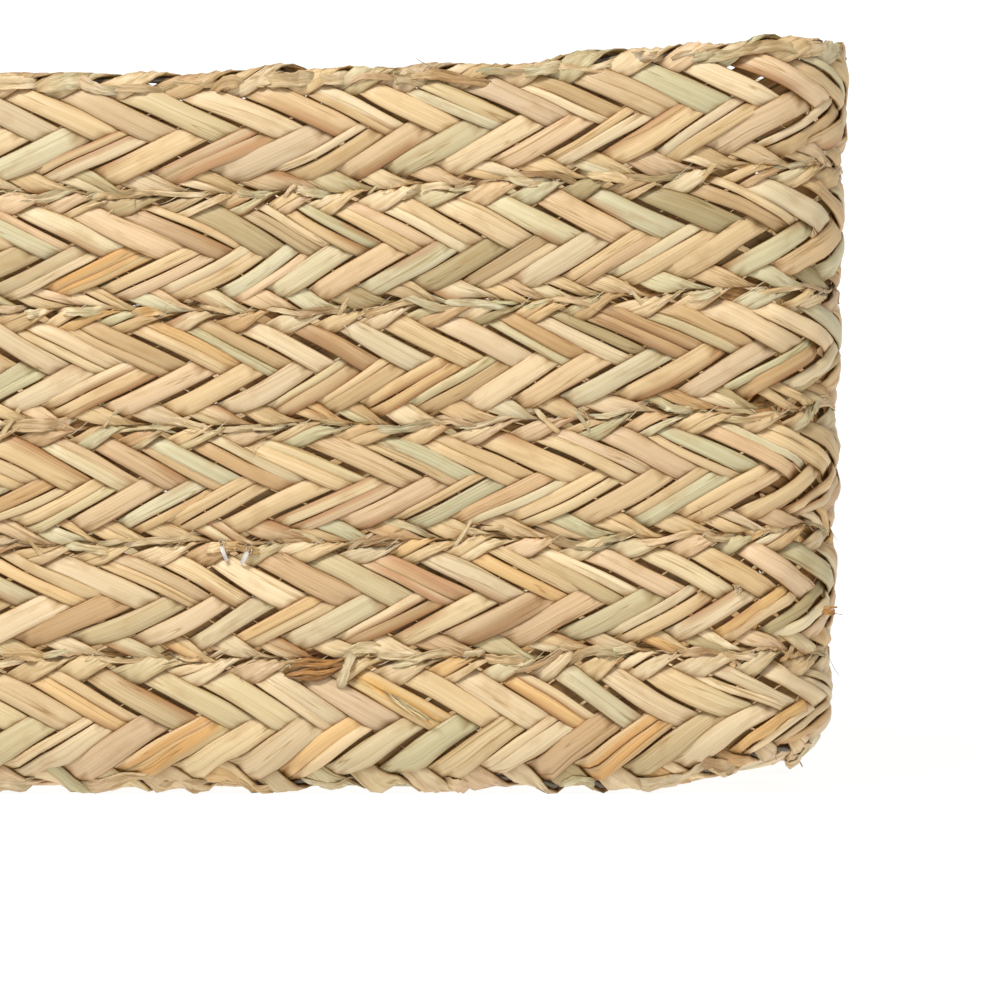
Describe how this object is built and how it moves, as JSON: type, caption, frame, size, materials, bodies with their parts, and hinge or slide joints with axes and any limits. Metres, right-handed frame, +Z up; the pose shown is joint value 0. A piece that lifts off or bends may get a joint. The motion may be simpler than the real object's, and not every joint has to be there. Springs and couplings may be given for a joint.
{
  "type": "seagrass storage basket",
  "caption": "Open rectangular storage basket of flat plaited seagrass braid, stacked in laced courses on a base of parallel braids, with rounded corners and a soft, slightly dipped rim.",
  "frame": {"origin": "on the floor, under the middle of the basket", "axes": "+Z up, +X along the longer side, -Y towards the front"},
  "size_m": [0.4016, 0.3016, 0.2088],
  "materials": {
    "seagrass": "dried and plaited leaf, satin, straw to pale green and tan, with fine lengthwise fibres",
    "nylon_thread": "clear white monofilament, smooth",
    "wire": "annealed steel wire, dark brown-grey oxide, dull"
  },
  "bodies": {
    "root": {"wall_course_1": "seagrass", "wall_course_2": "seagrass", "wall_course_3": "seagrass", "wall_course_4": "seagrass", "wall_course_5": "seagrass", "wall_course_6": "seagrass", "wall_seam_thread_1": "nylon_thread", "wall_seam_thread_2": "nylon_thread", "wall_seam_thread_3": "nylon_thread", "wall_seam_thread_4": "nylon_thread", "wall_seam_thread_5": "nylon_thread", "rim_wire_hoop": "wire", "base_wire_hoop": "wire", "base_strip_1": "seagrass", "base_strip_2": "seagrass", "base_strip_3": "seagrass", "base_strip_4": "seagrass", "base_strip_5": "seagrass", "base_strip_6": "seagrass", "base_strip_7": "seagrass", "base_strip_8": "seagrass", "base_strip_9": "seagrass", "base_seam_thread_1": "nylon_thread", "base_seam_thread_2": "nylon_thread", "base_seam_thread_3": "nylon_thread", "base_seam_thread_4": "nylon_thread", "base_seam_thread_5": "nylon_thread", "base_seam_thread_6": "nylon_thread", "base_seam_thread_7": "nylon_thread", "base_seam_thread_8": "nylon_thread"}
  },
  "joints": []
}
